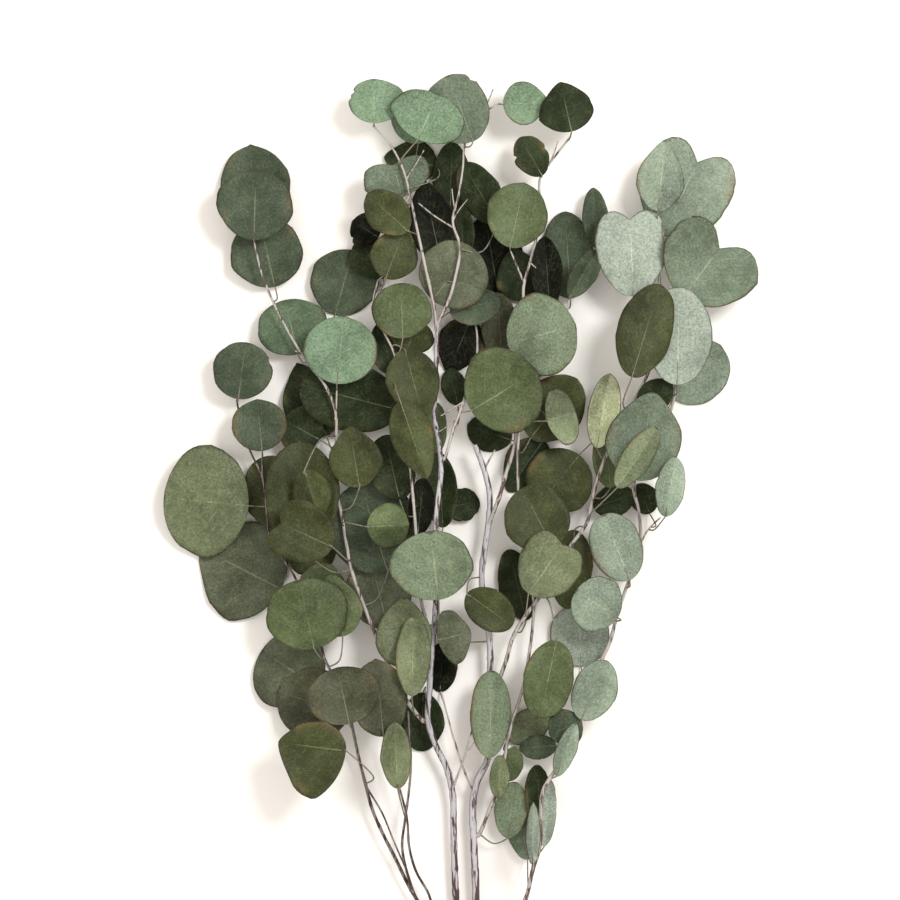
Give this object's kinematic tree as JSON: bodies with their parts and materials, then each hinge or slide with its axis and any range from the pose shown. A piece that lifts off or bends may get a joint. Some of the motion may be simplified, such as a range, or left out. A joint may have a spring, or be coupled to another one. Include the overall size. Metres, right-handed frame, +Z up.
{
  "type": "eucalyptus branch",
  "caption": "Cut branch of dried silver-dollar eucalyptus: a pale woody stem that forks into slim limbs and twigs carrying round grey-green leaves, laid flat.",
  "frame": {"origin": "middle of the bounding box's base, on the surface that the branch lies on", "axes": "+Y from the cut end of the stem towards the crown, +X to the right seen from above, +Z up from the surface"},
  "size_m": [0.4168, 0.7174, 0.0576],
  "materials": {
    "bark": "matte",
    "middle_foliage": "matte",
    "low_left_foliage": "matte",
    "left_foliage": "matte",
    "upper_left_foliage": "matte",
    "centre_foliage": "matte",
    "inner_foliage": "matte",
    "sweeping_foliage": "matte",
    "right_foliage": "matte",
    "crown_foliage": "matte"
  },
  "bodies": {
    "root": {"main_stem": "bark", "middle_limb": "middle_foliage", "low_left_limb": "low_left_foliage", "left_limb": "left_foliage", "upper_left_twig": "upper_left_foliage", "centre_twig": "centre_foliage", "inner_limb": "inner_foliage", "sweeping_limb": "sweeping_foliage", "right_limb": "right_foliage", "crown": "crown_foliage"}
  },
  "joints": []
}
